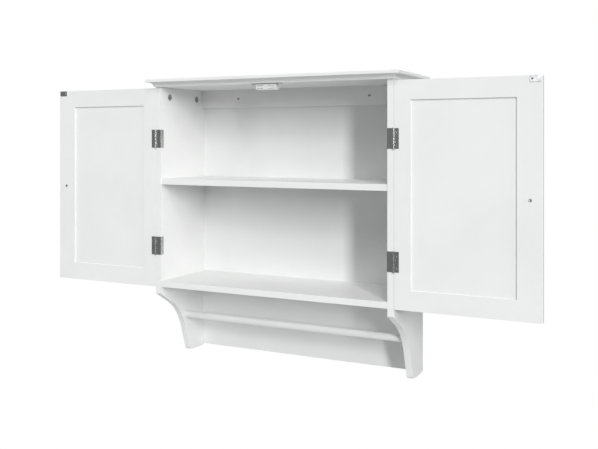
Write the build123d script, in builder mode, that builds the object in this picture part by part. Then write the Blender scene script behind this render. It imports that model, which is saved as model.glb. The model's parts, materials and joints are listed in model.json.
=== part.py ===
"""Two-door hanging wall cabinet with a towel bar, as an assembly of separate pieces.

Millimetres, +Z up.  The origin is midway between the two wall-screw holes, in the plane of the
wall: Y = 0 is the wall, the front faces -Y and X = 0 is the middle.  Both doors stand fully open,
turned 180 degrees about their hinge pins, which is the rest pose.
"""
from build123d import *
import os

os.makedirs("parts", exist_ok=True)

# ---------------------------------------------------------------- driving dimensions
carcass_width = 560.0        # over the two side panels
carcass_depth = 184.0        # wall to the front edges of the side panels
door_height = 443.0
board = 13.0                 # painted board of the sides, shelf, bottom board and rail

# top board with a square fillet and a cove round three edges
top_thickness = 16.0
top_fillet_height = 6.3
top_cove_step = 4.0
top_overhang_front = 19.0
top_overhang_side = 16.0

# heights inside the carcass
door_head_gap = 2.5          # top board to door
lower_compartment_share = 0.5125     # of the clear height of both compartments
shelf_setback = 2.0
back_panel_thickness = 5.0
back_rabbet_width = 6.0

# shaped brackets below the bottom board
bracket_drop = 167.0
nose_drop = 15.0             # straight front edge below the bottom board
nose_round = 3.0
elbow_drop = 63.0
elbow_from_wall = 102.3
elbow_round = 115.0
foot_depth = 67.7
foot_round = 10.0
foot_bow = 2.5               # the foot's underside bows down between its ends
lower_back_height = 163.5
lower_back_thickness = 10.0

# towel bar
bar_radius = 7.5
bar_from_wall = 83.0
bar_drop = 79.2
bar_socket_depth = 7.0

# hanging rail and its wall-screw holes
rail_height = 42.0
wall_hole_spacing = 330.0
wall_hole_radius = 3.0

# doors: frame and panel
door_thickness = 14.5
door_centre_gap = 2.0
hinge_stile_width = 34.0
free_stile_width = 45.5
door_rail_width = 38.5
panel_thickness = 6.0
panel_recess = 3.0           # below the door's inner face
tongue_depth = 8.0           # rails' tongues and panel edges in the grooves
groove_play = 0.1            # each side of the panel

# hinges: leaves that lie on the inner faces, wrapped round the side panel's edge
hinge_height = 40.0
hinge_from_door_top = 112.8  # to the middle of the upper hinge
hinge_from_door_bottom = 91.8
knuckles = 5
leaf_thickness = 1.0
pin_radius = 1.1
pin_clearance = 0.05
barrel_radius = 2.1
pivot_out = 0.2              # pin beyond the side panel's outer face
pivot_forward = 2.2          # pin in front of the side panel's front edge
frame_wrap_depth = 10.0
door_leaf_reach = 10.5       # from the pin across the door's inner face
hinge_screw_spacing = 23.4
frame_screw_setback = 4.8
door_screw_reach = 6.6
arris_round = 0.5            # corners of board and door beside the barrel

# knobs and magnetic catch
knob_from_free_edge = 21.4
knob_above_door_bottom = 219.0
knob_screw_radius = 2.0
knob_radius = 14.0
knob_height = 24.0
knob_base_radius = 8.0
knob_neck_radius = 5.0
knob_thread_depth = 12.0
strike_width = 20.0
strike_height = 11.5
strike_thickness = 1.0
strike_from_free_edge = 2.0
strike_below_door_top = 0.3
strike_screw_from_free_edge = 18.0
catch_width = 46.0
catch_height = 14.0
catch_depth = 15.0
catch_plate_width = 68.0
catch_plate_thickness = 2.0
catch_stud_radius = 2.0      # the housing's studs in its mounting plate
catch_stud_spacing = 28.0
catch_screw_spacing = 57.0
magnet_thickness = 5.0
magnet_width = 15.0
magnet_depth = 12.0
pole_thickness = 0.8
pole_proud = 0.5
catch_front_wall = 1.2
catch_front_gap = 0.2        # strike plate to poles, door shut

# knock-down fittings: cam locks, cam bolts and dowels
cam_radius = 7.5
cam_depth = 11.0
cam_reach = 22.0             # joint face to cam centre
cam_front_setback = 35.0
cam_from_wall = 40.0
bolt_thread_radius = 2.5
bolt_thread_length = 10.0
bolt_shank_radius = 3.0
bolt_neck_radius = 1.6
bolt_head_radius = 2.6
bolt_hole_radius = 3.6
dowel_radius = 3.0
dowel_front_setback = 62.0
dowel_from_wall = 66.0
dowel_in_face = 9.0
dowel_in_edge = 14.0
dowel_end_gap = 0.5

# small screws and pins
screw_shank_radius = 1.25
screw_head_radius = 2.4
screw_length = 11.0
panel_pin_radius = 0.7
panel_pin_length = 16.0
panel_pin_head_radius = 1.5
panel_pin_head_height = 0.8

edge_soft = 0.8              # softened edges of painted board
slip = 0.3                   # fitting clearance

# ---------------------------------------------------------------- derived planes and places
signs = (-1, 1)
front = -carcass_depth
half_width = carcass_width / 2
inner_x = half_width - board
inner_width = carcass_width - 2 * board

ceiling = rail_height / 2
top_face = ceiling + top_thickness
door_top = ceiling - door_head_gap
door_bottom = door_top - door_height
floor_under = door_bottom
floor_top = floor_under + board
shelf_under = floor_top + lower_compartment_share * (ceiling - floor_top - board)
shelf_top = shelf_under + board
side_foot = floor_under - bracket_drop
back_face = -back_panel_thickness
rail_face = back_face - board
shelf_front = front + shelf_setback

pivot_x = half_width + pivot_out
pivot_y = front - pivot_forward
door_hinge_x = 2 * pivot_x - half_width
door_free_x = 2 * pivot_x - door_centre_gap / 2
door_back = front
door_front = door_back + door_thickness
hinge_levels = (door_top - hinge_from_door_top, door_bottom + hinge_from_door_bottom)
hinge_screw_levels = [
    level + sign * hinge_screw_spacing / 2 for level in hinge_levels for sign in signs
]
knob_x = door_free_x - knob_from_free_edge
knob_z = door_bottom + knob_above_door_bottom
strike_screw_x = door_free_x - strike_screw_from_free_edge
strike_z = door_top - strike_below_door_top - strike_height / 2
frame_screw_y = front + frame_screw_setback
door_screw_x = pivot_x + door_screw_reach

cam_ys = (front + cam_front_setback, -cam_from_wall)
dowel_ys = (front + dowel_front_setback, -dowel_from_wall)
board_levels = (floor_under, shelf_under)
top_bolt_places = [(sign * (half_width - board / 2), y) for sign in signs for y in cam_ys]
top_dowel_places = [(sign * (half_width - board / 2), y) for sign in signs for y in dowel_ys]
rail_dowel_places = [(rail_face + board / 2, sign * rail_height / 4) for sign in signs]
lower_back_dowel_places = [
    (-lower_back_thickness / 2, floor_under - lower_back_height * share) for share in (0.2, 0.8)
]
bar_z = floor_under - bar_drop
catch_front = pivot_y * 2 - front + strike_thickness + catch_front_gap + pole_proud
catch_z = ceiling - (catch_height + catch_plate_thickness) / 2
catch_screw_y = catch_front + catch_depth / 2
catch_screw_xs = [sign * catch_screw_spacing / 2 for sign in signs]
strike_shut_x = door_centre_gap / 2 + strike_from_free_edge + strike_width / 2

pin_side_levels = [ceiling - (ceiling - floor_under) * share for share in (0.15, 0.4, 0.65, 0.9)]
pin_board_xs = [inner_x * share for share in (-0.6, 0.0, 0.6)]
pin_places = [(sign * (inner_x + back_rabbet_width / 2), z) for sign in signs for z in pin_side_levels]
pin_places += [(x, level + board / 2) for x in pin_board_xs for level in board_levels]
pin_places += [(x, -rail_height / 4) for x in pin_board_xs]


def save(piece, name):
    """Label one finished piece and write it as its own node."""
    piece.label = name
    export_step(piece, f"parts/{name}.step")


def save_pair(piece, name):
    """Write the right-hand piece and its mirror image on the left."""
    save(piece, f"{name}_right")
    with BuildPart() as left:
        mirror(piece, about=Plane.YZ)
    save(left.part, f"{name}_left")


def at_x(x):
    """Plane across X, facing +X: its x is +Y and its y is +Z."""
    return Plane(origin=(x, 0, 0), x_dir=(0, 1, 0), z_dir=(1, 0, 0))


def at_y(y):
    """Plane across Y, facing the front: its x is +X and its y is +Z."""
    return Plane(origin=(0, y, 0), x_dir=(1, 0, 0), z_dir=(0, -1, 0))


# ---------------------------------------------------------------- cuts shared by mating pieces
def bore(plane, places, radius, depth):
    """Round holes in the piece being built, going depth along the plane's normal."""
    with BuildSketch(plane) as outline:
        with Locations(*places):
            Circle(radius)
    extrude(outline.sketch, amount=depth, mode=Mode.SUBTRACT)


def countersinks(centres, outward, sheet):
    """Conical screw seats through a sheet, with their wide ends on its outward face."""
    for centre in centres:
        face = Plane(origin=centre, z_dir=outward)
        with BuildSketch(face) as mouth:
            Circle(screw_head_radius)
        with BuildSketch(face.offset(-sheet)) as throat:
            Circle(screw_shank_radius)
        loft([mouth.sketch, throat.sketch], mode=Mode.SUBTRACT)


def pin_sockets():
    """Holes of the back-panel pins, cut in whatever they are driven into."""
    bore(at_y(0), pin_places, panel_pin_radius, panel_pin_length)


def wall_screw_holes():
    """Clearance holes for the two screws that hang the cabinet."""
    places = [(sign * wall_hole_spacing / 2, 0) for sign in signs]
    bore(at_y(0), places, wall_hole_radius, back_panel_thickness + board)


def end_dowel_holes(places):
    """Dowel holes in both ends of a board that spans between the side panels."""
    for sign in signs:
        bore(at_x(sign * inner_x), places, dowel_radius, -sign * dowel_in_edge)


def end_cam_fittings(under):
    """Cam bores in a board's underside and the bolt holes that reach them from its ends."""
    cam_places = [(sign * (inner_x - cam_reach), y) for sign in signs for y in cam_ys]
    bore(Plane.XY.offset(under), cam_places, cam_radius, cam_depth)
    bolt_places = [(y, under + board / 2) for y in cam_ys]
    for sign in signs:
        bore(at_x(sign * inner_x), bolt_places, bolt_hole_radius, -sign * cam_reach)


# ---------------------------------------------------------------- carcass boards
with BuildPart() as top_board:
    with BuildSketch(Plane.XY.offset(ceiling)):
        with Locations((0, (front - top_overhang_front) / 2)):
            Rectangle(carcass_width + 2 * top_overhang_side, carcass_depth + top_overhang_front)
    extrude(amount=top_thickness)
    cove_radius = top_thickness - top_fillet_height
    end_x = half_width + top_overhang_side
    for sign in signs:
        with BuildSketch(at_y(0)):
            with Locations((sign * (end_x - top_cove_step), ceiling)):
                Circle(cove_radius)
            with Locations((sign * end_x, ceiling + cove_radius / 2)):
                Rectangle(2 * top_cove_step, cove_radius)
        extrude(amount=carcass_depth + top_overhang_front, mode=Mode.SUBTRACT)
    with BuildSketch(at_x(-end_x)):
        with Locations((front - top_overhang_front + top_cove_step, ceiling)):
            Circle(cove_radius)
        with Locations((front - top_overhang_front, ceiling + cove_radius / 2)):
            Rectangle(2 * top_cove_step, cove_radius)
    extrude(amount=2 * end_x, mode=Mode.SUBTRACT)
    upper_edges = top_board.faces().sort_by(Axis.Z)[-1].edges().filter_by(lambda e: e.center().Y < -1)
    fillet(upper_edges, 1.5)
    bore(Plane.XY.offset(ceiling), top_bolt_places, bolt_thread_radius, bolt_thread_length)
    bore(Plane.XY.offset(ceiling), top_dowel_places, dowel_radius, dowel_in_face)
    catch_holes = [(x, catch_screw_y) for x in catch_screw_xs]
    bore(Plane.XY.offset(ceiling), catch_holes, screw_shank_radius, screw_length - catch_plate_thickness)
save(top_board.part, "top_board")


with BuildPart() as side_panel:
    with BuildSketch(at_x(inner_x)) as profile:
        with BuildLine():
            outline = FilletPolyline(
                (0, side_foot + foot_bow),
                (0, ceiling),
                (front, ceiling),
                (front, floor_under - nose_drop),
                (-elbow_from_wall, floor_under - elbow_drop),
                (-foot_depth, side_foot + foot_bow),
                radius=[0, 0, nose_round, elbow_round],
            )
            ThreePointArc(outline @ 1, (-foot_depth / 2, side_foot), outline @ 0)
        make_face()
        foot_corner = (-foot_depth, side_foot + foot_bow)
        fillet(profile.vertices().sort_by_distance(foot_corner)[0], foot_round)
    extrude(amount=board)
    front_arris = (
        side_panel.edges()
        .filter_by(Axis.Z)
        .filter_by(lambda e: abs(e.center().Y - front) < 0.01)
        .sort_by(Axis.X)
    )
    fillet(front_arris[-1], arris_round)
    with BuildSketch(at_x(inner_x)):
        with Locations((back_face / 2, (ceiling + floor_under) / 2)):
            Rectangle(back_panel_thickness, ceiling - floor_under)
    extrude(amount=back_rabbet_width, mode=Mode.SUBTRACT)
    # top joint: cam bores in the inner face, bolt and dowel holes down from the top edge
    bore(at_x(inner_x), [(y, ceiling - cam_reach) for y in cam_ys], cam_radius, cam_depth)
    bore(Plane.XY.offset(ceiling), top_bolt_places[-2:], bolt_hole_radius, -cam_reach)
    bore(Plane.XY.offset(ceiling), top_dowel_places[-2:], dowel_radius, -dowel_in_edge)
    # shelf, bottom board, rail, lower back board, towel bar and hinges
    board_bolts = [(y, level + board / 2) for y in cam_ys for level in board_levels]
    board_dowels = [(y, level + board / 2) for y in dowel_ys for level in board_levels]
    bore(at_x(inner_x), board_bolts, bolt_thread_radius, bolt_thread_length)
    bore(at_x(inner_x), board_dowels, dowel_radius, dowel_in_face)
    bore(at_x(inner_x), rail_dowel_places + lower_back_dowel_places, dowel_radius, dowel_in_face)
    bore(at_x(inner_x), [(-bar_from_wall, bar_z)], bar_radius, bar_socket_depth)
    hinge_holes = [(frame_screw_y, z) for z in hinge_screw_levels]
    bore(at_x(inner_x), hinge_holes, screw_shank_radius, screw_length - leaf_thickness)
    pin_sockets()
save_pair(side_panel.part, "side_panel")


def span_board(under, front_y):
    """Board between the side panels, held by cams and dowels at both ends."""
    with BuildPart() as panel:
        with BuildSketch(Plane.XY.offset(under)):
            with Locations((0, (front_y + back_face) / 2)):
                Rectangle(inner_width, back_face - front_y)
        extrude(amount=board)
        front_edges = panel.faces().sort_by(Axis.Y)[0].edges().filter_by(Axis.X)
        fillet(front_edges, edge_soft)
        end_cam_fittings(under)
        end_dowel_holes([(y, under + board / 2) for y in dowel_ys])
        pin_sockets()
    return panel.part


save(span_board(floor_under, front), "bottom_board")
save(span_board(shelf_under, shelf_front), "middle_shelf")


with BuildPart() as back_panel:
    with BuildSketch(at_y(0)):
        with Locations((0, (ceiling + floor_under) / 2)):
            Rectangle(inner_width + 2 * back_rabbet_width - 2 * slip, ceiling - floor_under)
    extrude(amount=back_panel_thickness)
    wall_screw_holes()
    pin_sockets()
    bore(at_y(0), pin_places, panel_pin_head_radius, panel_pin_head_height)
save(back_panel.part, "back_panel")


with BuildPart() as hanging_rail:
    with BuildSketch(at_y(back_face)):
        Rectangle(inner_width, rail_height)
    extrude(amount=board)
    lower_front_edge = hanging_rail.faces().sort_by(Axis.Y)[0].edges().filter_by(Axis.X).sort_by(Axis.Z)[0]
    fillet(lower_front_edge, edge_soft)
    wall_screw_holes()
    end_dowel_holes(rail_dowel_places)
    pin_sockets()
save(hanging_rail.part, "hanging_rail")


with BuildPart() as lower_back_board:
    with BuildSketch(at_y(0)):
        with Locations((0, floor_under - lower_back_height / 2)):
            Rectangle(inner_width, lower_back_height)
    extrude(amount=lower_back_thickness)
    foot_edge = lower_back_board.faces().sort_by(Axis.Y)[0].edges().filter_by(Axis.X).sort_by(Axis.Z)[0]
    fillet(foot_edge, edge_soft)
    end_dowel_holes(lower_back_dowel_places)
save(lower_back_board.part, "lower_back_board")


with BuildPart() as towel_bar:
    bar_end = inner_x + bar_socket_depth - slip
    with BuildSketch(at_x(-bar_end)):
        with Locations((-bar_from_wall, bar_z)):
            Circle(bar_radius)
    extrude(amount=2 * bar_end)
save(towel_bar.part, "towel_bar")


# ---------------------------------------------------------------- knock-down fittings
def cam_lock(centre, face_normal, bolt_direction):
    """Round cam, its face at centre, open towards the bolt and with a cross recess in its face."""
    face = Plane(origin=centre, x_dir=bolt_direction, z_dir=face_normal)
    with BuildPart() as cam:
        with BuildSketch(face):
            Circle(cam_radius - slip / 3)
        extrude(amount=-(cam_depth - slip))
        with BuildSketch(face):
            Rectangle(8.0, 1.5)
            Rectangle(1.5, 8.0)
        extrude(amount=-1.8, mode=Mode.SUBTRACT)
        with BuildSketch(face.offset(-board / 2)):
            with Locations((cam_radius / 2, 0)):
                Rectangle(cam_radius + 2 * bolt_head_radius + 1.6, 2 * bolt_hole_radius)
        extrude(amount=bolt_hole_radius, both=True, mode=Mode.SUBTRACT)
    return cam.part


def cam_bolt(root, into_board):
    """Bolt: thread in one board, collar and neck through the other, head inside the cam."""
    base = Plane(origin=root, z_dir=into_board)
    with BuildPart() as bolt:
        with BuildSketch(base):
            Circle(bolt_thread_radius)
        extrude(amount=bolt_thread_length - slip)
        with BuildSketch(base):
            Circle(bolt_shank_radius)
        extrude(amount=-(cam_reach - cam_radius - 1.0))
        with BuildSketch(base):
            Circle(bolt_neck_radius)
        extrude(amount=-cam_reach)
        with BuildSketch(base.offset(-cam_reach)):
            Circle(bolt_head_radius)
        extrude(amount=2.4)
    return bolt.part


def save_group(solids, name):
    """Write several like solids as one node."""
    with BuildPart() as group:
        for solid in solids:
            add(solid)
    save(group.part, name)


save_group(
    [
        cam_lock((s * inner_x, y, ceiling - cam_reach), (-s, 0, 0), (0, 0, 1))
        for s in signs
        for y in cam_ys
    ],
    "top_cam_locks",
)
save_group(
    [cam_bolt((s * (half_width - board / 2), y, ceiling), (0, 0, 1)) for s in signs for y in cam_ys],
    "top_cam_bolts",
)
for level_name, level in zip(("bottom", "shelf"), board_levels):
    save_group(
        [
            cam_lock((s * (inner_x - cam_reach), y, level), (0, 0, -1), (s, 0, 0))
            for s in signs
            for y in cam_ys
        ],
        f"{level_name}_cam_locks",
    )
    save_group(
        [cam_bolt((s * inner_x, y, level + board / 2), (s, 0, 0)) for s in signs for y in cam_ys],
        f"{level_name}_cam_bolts",
    )


def dowel(middle, along, into_face, into_edge):
    """Dowel with its joint face at middle, reaching into a face one way and an edge the other."""
    with BuildPart() as peg:
        with BuildSketch(Plane(origin=middle, z_dir=along)):
            Circle(dowel_radius)
        extrude(amount=into_face - dowel_end_gap)
        with BuildSketch(Plane(origin=middle, z_dir=along)):
            Circle(dowel_radius)
        extrude(amount=-(into_edge - dowel_end_gap))
    return peg.part


save_group(
    [
        dowel((s * (half_width - board / 2), y, ceiling), (0, 0, 1), dowel_in_face, dowel_in_edge)
        for s in signs
        for y in dowel_ys
    ],
    "top_dowels",
)
end_dowels = {
    "bottom_dowels": [(y, floor_under + board / 2) for y in dowel_ys],
    "shelf_dowels": [(y, shelf_under + board / 2) for y in dowel_ys],
    "rail_dowels": rail_dowel_places,
    "lower_back_dowels": lower_back_dowel_places,
}
for dowel_name, places in end_dowels.items():
    save_group(
        [
            dowel((s * inner_x, y, z), (s, 0, 0), dowel_in_face, dowel_in_edge)
            for s in signs
            for y, z in places
        ],
        dowel_name,
    )


with BuildPart() as back_panel_pins:
    with BuildSketch(at_y(0)):
        with Locations(*pin_places):
            Circle(panel_pin_radius)
    extrude(amount=panel_pin_length)
    with BuildSketch(at_y(0)):
        with Locations(*pin_places):
            Circle(panel_pin_head_radius)
    extrude(amount=panel_pin_head_height)
save(back_panel_pins.part, "back_panel_pins")


# ---------------------------------------------------------------- countersunk screws
def countersunk_screw(head_centre, outward, sheet):
    """Small countersunk screw, its head flush in a sheet of the given thickness."""
    face = Plane(origin=head_centre, z_dir=outward)
    with BuildPart() as screw:
        with BuildSketch(face):
            Circle(screw_head_radius)
        with BuildSketch(face.offset(-sheet)):
            Circle(screw_shank_radius)
        loft()
        with BuildSketch(face.offset(-sheet)):
            Circle(screw_shank_radius)
        extrude(amount=-(screw_length - sheet - slip))
        with BuildSketch(face):
            Rectangle(2.8, 0.6)
            Rectangle(0.6, 2.8)
        extrude(amount=-0.7, mode=Mode.SUBTRACT)
    return screw.part


# ---------------------------------------------------------------- hinges
knuckle = hinge_height / knuckles
barrel_clear = barrel_radius + slip
leaf_edge = (barrel_clear**2 - (pivot_forward - leaf_thickness) ** 2) ** 0.5
frame_screw_points = [(inner_x - leaf_thickness, frame_screw_y, z) for z in hinge_screw_levels]
door_screw_points = [(door_screw_x, front - leaf_thickness, z) for z in hinge_screw_levels]


def knuckle_bands(level, odd):
    """Heights of one leaf's knuckles: first, third and fifth, or second and fourth."""
    bottom = level - hinge_height / 2
    return [bottom + knuckle * (i + 0.5) for i in range(0 if odd else 1, knuckles, 2)]


def hinge_leaf(level, flat, wrap, bore, odd):
    """Leaf from plane rectangles (x0, x1, y0, y1) plus its rolled knuckles round the pin."""
    with BuildPart() as leaf:
        for x0, x1, y0, y1 in (flat, wrap) if wrap else (flat,):
            with BuildSketch(Plane.XY.offset(level - hinge_height / 2)):
                with Locations(((x0 + x1) / 2, (y0 + y1) / 2)):
                    Rectangle(x1 - x0, y1 - y0)
            extrude(amount=hinge_height)
        web_end = pivot_x - bore if odd else pivot_x + bore
        web_start = flat[1] if odd else flat[0]
        for z in knuckle_bands(level, odd):
            with BuildSketch(Plane.XY.offset(z - knuckle / 2 + slip / 2)):
                with Locations(((web_start + web_end) / 2, front - leaf_thickness / 2)):
                    Rectangle(abs(web_end - web_start), leaf_thickness)
                with Locations((pivot_x, pivot_y)):
                    Circle(barrel_radius)
                    Circle(bore, mode=Mode.SUBTRACT)
            extrude(amount=knuckle - slip)
        if wrap:
            bend = leaf.edges().filter_by(Axis.Z).filter_by(
                lambda e: abs(e.center().X - wrap[0]) < 0.01 and abs(e.center().Y - wrap[2]) < 0.01
            )
            fillet(bend, leaf_thickness * 0.8)
            places = [p for p in frame_screw_points if abs(p[2] - level) < hinge_height / 2]
            countersinks(places, (-1, 0, 0), leaf_thickness)
        else:
            places = [p for p in door_screw_points if abs(p[2] - level) < hinge_height / 2]
            countersinks(places, (0, -1, 0), leaf_thickness)
    return leaf.part


frame_flat = (inner_x - leaf_thickness, pivot_x - leaf_edge, front - leaf_thickness, front)
frame_wrap = (inner_x - leaf_thickness, inner_x, front - leaf_thickness, front + frame_wrap_depth)
door_flat = (pivot_x + leaf_edge, pivot_x + door_leaf_reach, front - leaf_thickness, front)
for level_name, level in zip(("upper", "lower"), hinge_levels):
    frame_leaf = hinge_leaf(level, frame_flat, frame_wrap, pin_radius, True)
    save_pair(frame_leaf, f"{level_name}_hinge_frame_leaf")
    door_leaf = hinge_leaf(level, door_flat, None, pin_radius + pin_clearance, False)
    save_pair(door_leaf, f"{level_name}_hinge_door_leaf")

with BuildPart() as hinge_pins:
    for level in hinge_levels:
        with BuildSketch(Plane.XY.offset(level - hinge_height / 2)):
            with Locations((pivot_x, pivot_y)):
                Circle(pin_radius)
        extrude(amount=hinge_height)
        for end in (-1, 1):
            with BuildSketch(Plane.XY.offset(level + end * hinge_height / 2)):
                with Locations((pivot_x, pivot_y)):
                    Circle(barrel_radius - slip)
            extrude(amount=end * 0.8)
save_pair(hinge_pins.part, "hinge_pins")

with BuildPart() as frame_screws:
    for point in frame_screw_points:
        add(countersunk_screw(point, (-1, 0, 0), leaf_thickness))
save_pair(frame_screws.part, "hinge_frame_screws")

with BuildPart() as door_screws:
    for point in door_screw_points:
        add(countersunk_screw(point, (0, -1, 0), leaf_thickness))
save_pair(door_screws.part, "hinge_door_screws")


# ---------------------------------------------------------------- doors
groove_depth = tongue_depth + slip
groove_width = panel_thickness + 2 * groove_play
groove_y = door_back + panel_recess + panel_thickness / 2
door_middle = (door_back + door_front) / 2
hinge_sight_x = door_hinge_x + hinge_stile_width
free_sight_x = door_free_x - free_stile_width
lower_sight_z = door_bottom + door_rail_width
upper_sight_z = door_top - door_rail_width


def stick(x0, x1, z0, z1, thickness, middle_y, mode=Mode.ADD):
    """Rectangular piece of a door between two X and two Z limits, or a cut of that shape."""
    with BuildSketch(at_y(middle_y)) as outline:
        with Locations(((x0 + x1) / 2, (z0 + z1) / 2)):
            Rectangle(abs(x1 - x0), abs(z1 - z0))
    extrude(outline.sketch, amount=thickness / 2, both=True, mode=mode)


def groove(x0, x1, z0, z1):
    """Panel groove cut in the piece being built."""
    stick(x0, x1, z0, z1, groove_width, groove_y, Mode.SUBTRACT)


with BuildPart() as hinge_stile:
    stick(door_hinge_x, hinge_sight_x, door_bottom, door_top, door_thickness, door_middle)
    hinge_edges = hinge_stile.edges().filter_by(Axis.Z).sort_by(Axis.X)[:2].sort_by(Axis.Y)
    fillet(hinge_edges[0], arris_round)
    front_arris = hinge_stile.edges().filter_by(Axis.Z).sort_by(lambda e: e.center().X - e.center().Y)[0]
    fillet(front_arris, edge_soft)
    groove(hinge_sight_x - groove_depth, hinge_sight_x, door_bottom, door_top)
    leaf_holes = [(door_screw_x, z) for z in hinge_screw_levels]
    bore(at_y(door_back), leaf_holes, screw_shank_radius, leaf_thickness - screw_length)
save_pair(hinge_stile.part, "door_hinge_stile")

with BuildPart() as free_stile:
    stick(free_sight_x, door_free_x, door_bottom, door_top, door_thickness, door_middle)
    fillet(free_stile.edges().filter_by(Axis.Z).sort_by(Axis.X)[-2:], edge_soft)
    groove(free_sight_x, free_sight_x + groove_depth, door_bottom, door_top)
    bore(at_y(door_back), [(knob_x, knob_z)], knob_screw_radius, -door_thickness)
    bore(at_y(door_back), [(strike_screw_x, strike_z)], screw_shank_radius, strike_thickness - screw_length)
save_pair(free_stile.part, "door_free_stile")


def door_rail(outer_z, sight_z):
    """Rail with a panel groove along its sight edge and a tongue at each end."""
    into_rail = 1 if outer_z > sight_z else -1
    groove_end = sight_z + into_rail * groove_depth
    with BuildPart() as rail:
        stick(hinge_sight_x, free_sight_x, outer_z, sight_z, door_thickness, door_middle)
        groove(hinge_sight_x, free_sight_x, sight_z, groove_end)
        tongue_start = hinge_sight_x - tongue_depth
        tongue_end = free_sight_x + tongue_depth
        stick(tongue_start, tongue_end, groove_end, outer_z, panel_thickness, groove_y)
    return rail.part


save_pair(door_rail(door_top, upper_sight_z), "door_top_rail")
save_pair(door_rail(door_bottom, lower_sight_z), "door_bottom_rail")

with BuildPart() as door_panel:
    reach = tongue_depth - slip
    panel_ends = (hinge_sight_x - reach, free_sight_x + reach)
    stick(*panel_ends, lower_sight_z - reach, upper_sight_z + reach, panel_thickness, groove_y)
save_pair(door_panel.part, "door_panel")


# ---------------------------------------------------------------- knobs and strike plates
with BuildPart() as knob:
    with BuildSketch(Plane.XY):
        with BuildLine():
            foot_rim = (knob_base_radius, 0)
            foot_top = (knob_base_radius, 0.06 * knob_height)
            waist = (knob_neck_radius, 0.33 * knob_height)
            underside = (0.9 * knob_radius, 0.62 * knob_height)
            rim = (knob_radius, 0.75 * knob_height)
            crown = (0, knob_height)
            Polyline(crown, (0, 0), foot_rim, foot_top)
            ThreePointArc(foot_top, (1.18 * knob_neck_radius, 0.17 * knob_height), waist)
            ThreePointArc(waist, (0.52 * knob_radius, 0.52 * knob_height), underside)
            ThreePointArc(underside, (0.975 * knob_radius, 0.675 * knob_height), rim)
            TangentArc(crown, rim, tangent=(1, 0))
        make_face()
    revolve(axis=Axis.Y)
    bore(Plane.XZ, [(0, 0)], knob_screw_radius, -knob_thread_depth)
knob_place = Location((knob_x, door_front, knob_z))
save_pair(knob.part.moved(knob_place), "knob")

with BuildPart() as knob_screw:
    with BuildSketch(at_y(door_back)):
        with Locations((knob_x, knob_z)):
            Circle(knob_screw_radius)
    extrude(amount=-(door_thickness + knob_thread_depth - 2.0))
    with BuildSketch(at_y(door_back)):
        with Locations((knob_x, knob_z)):
            Circle(3.3)
    extrude(amount=1.6)
    fillet(knob_screw.faces().sort_by(Axis.Y)[0].edges(), 0.9)
    with BuildSketch(at_y(door_back - 1.6)):
        with Locations((knob_x, knob_z)):
            Rectangle(3.6, 0.8)
            Rectangle(0.8, 3.6)
    extrude(amount=-1.0, mode=Mode.SUBTRACT)
save_pair(knob_screw.part, "knob_screw")

with BuildPart() as strike_plate:
    with BuildSketch(at_y(door_back)):
        with Locations((door_free_x - strike_from_free_edge - strike_width / 2, strike_z)):
            RectangleRounded(strike_width, strike_height, 1.5)
    extrude(amount=strike_thickness)
    countersinks([(strike_screw_x, door_back - strike_thickness, strike_z)], (0, -1, 0), strike_thickness)
save_pair(strike_plate.part, "strike_plate")

strike_screw = countersunk_screw(
    (strike_screw_x, door_back - strike_thickness, strike_z), (0, -1, 0), strike_thickness
)
save_pair(strike_screw, "strike_screw")


# ---------------------------------------------------------------- double magnetic catch
catch_screw_points = [(x, catch_screw_y, ceiling - catch_plate_thickness) for x in catch_screw_xs]
stack_height = magnet_thickness + 2 * pole_thickness
pole_offset = (magnet_thickness + pole_thickness) / 2
pole_places = [(s * strike_shut_x, catch_z + t * pole_offset) for s in signs for t in signs]

catch_middle_y = catch_front + catch_depth / 2
catch_studs = [(sign * catch_stud_spacing / 2, catch_middle_y) for sign in signs]

with BuildPart() as catch_plate:
    with BuildSketch(Plane.XY.offset(ceiling)):
        with Locations((0, catch_middle_y)):
            RectangleRounded(catch_plate_width, catch_depth, 2.0)
        with Locations(*catch_studs):
            Circle(catch_stud_radius, mode=Mode.SUBTRACT)
    extrude(amount=-catch_plate_thickness)
    countersinks(catch_screw_points, (0, 0, -1), catch_plate_thickness)
save(catch_plate.part, "catch_plate")

with BuildPart() as catch_housing:
    with BuildSketch(Plane.XY.offset(ceiling - catch_plate_thickness)):
        with Locations((0, catch_middle_y)):
            Rectangle(catch_width, catch_depth)
    extrude(amount=-(catch_height - catch_plate_thickness))
    lower_edges = catch_housing.faces().sort_by(Axis.Z)[0].edges()
    fillet(lower_edges, 1.5)
    with BuildSketch(Plane.XY.offset(ceiling - catch_plate_thickness)):
        with Locations(*catch_studs):
            Circle(catch_stud_radius)
    extrude(amount=catch_plate_thickness)
    with BuildSketch(at_y(catch_front + catch_depth)):
        with Locations(*[(sign * strike_shut_x, catch_z) for sign in signs]):
            Rectangle(magnet_width, stack_height)
    extrude(amount=catch_depth - catch_front_wall, mode=Mode.SUBTRACT)
    with BuildSketch(at_y(catch_front + catch_front_wall)):
        with Locations(*pole_places):
            Rectangle(magnet_width, pole_thickness)
    extrude(amount=catch_front_wall, mode=Mode.SUBTRACT)
save(catch_housing.part, "catch_housing")

save_group(
    [countersunk_screw(point, (0, 0, -1), catch_plate_thickness) for point in catch_screw_points],
    "catch_screws",
)

with BuildPart() as catch_magnets:
    with BuildSketch(at_y(catch_front + magnet_depth)):
        with Locations(*[(sign * strike_shut_x, catch_z) for sign in signs]):
            Rectangle(magnet_width, magnet_thickness)
    extrude(amount=magnet_depth - catch_front_wall)
save(catch_magnets.part, "catch_magnets")

with BuildPart() as catch_pole_plates:
    with BuildSketch(at_y(catch_front + magnet_depth)):
        with Locations(*pole_places):
            Rectangle(magnet_width, pole_thickness)
    extrude(amount=magnet_depth + pole_proud)
save(catch_pole_plates.part, "catch_pole_plates")
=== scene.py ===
"""Looks of a white two-door hanging wall cabinet with a towel bar, built round its fixed CAD frame."""

import json
import math

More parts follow.
